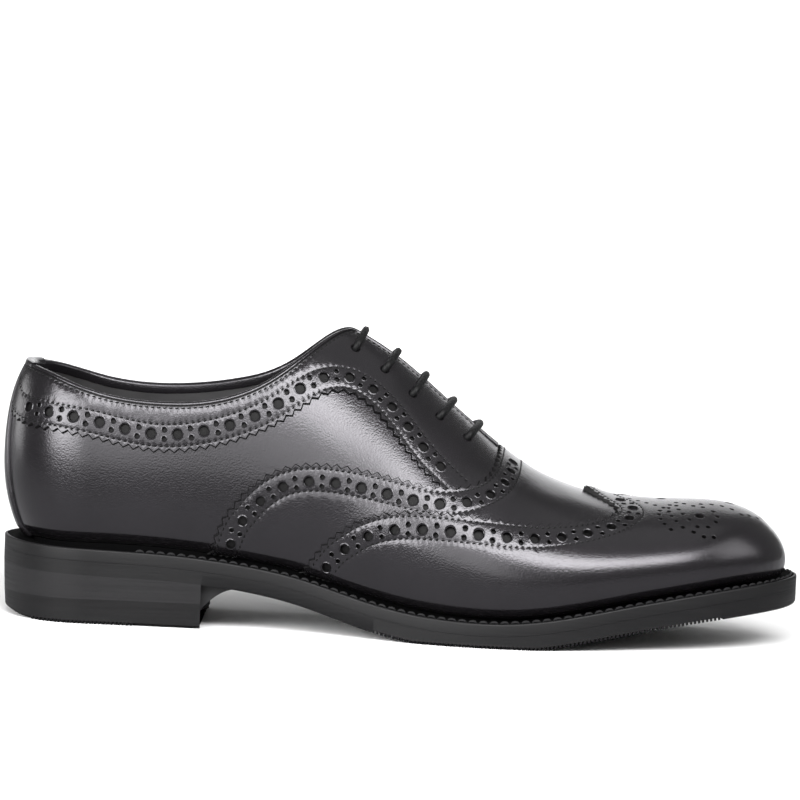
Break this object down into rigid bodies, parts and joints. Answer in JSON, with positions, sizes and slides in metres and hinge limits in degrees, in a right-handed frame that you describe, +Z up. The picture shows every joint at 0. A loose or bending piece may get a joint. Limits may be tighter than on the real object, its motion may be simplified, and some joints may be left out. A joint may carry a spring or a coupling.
{
  "type": "oxford brogue shoe",
  "caption": "Black leather oxford full brogue, laced closed, with punched wing cap, vamp and collar panels, a welted rubber sole and a low block heel.",
  "frame": {"origin": "middle of the shoe's length and width, on the floor under its sole", "axes": "+X from heel to toe, +Z up, -Y to the lateral side of this right shoe"},
  "size_m": [0.3076, 0.107, 0.1155],
  "materials": {
    "upper_leather": "polished black calf with a fine grain and a soft gloss",
    "lining_leather": "matt dark lining leather",
    "sole_rubber": "matt black rubber",
    "heel_rubber": "matt dark grey rubber",
    "lace_cord": "waxed round black cord"
  },
  "bodies": {
    "root": {"upper": "upper_leather", "wing_cap": "upper_leather", "vamp": "upper_leather", "facing_lateral": "upper_leather", "facing_medial": "upper_leather", "back_stay": "upper_leather", "tongue": "upper_leather", "insole": "lining_leather", "welt": "sole_rubber", "outsole": "sole_rubber", "heel_stack": "heel_rubber", "heel_top_piece": "sole_rubber", "lace_bar_1": "lace_cord", "lace_bar_2": "lace_cord", "lace_bar_3": "lace_cord", "lace_bar_4": "lace_cord", "lace_bar_5": "lace_cord"}
  },
  "joints": []
}
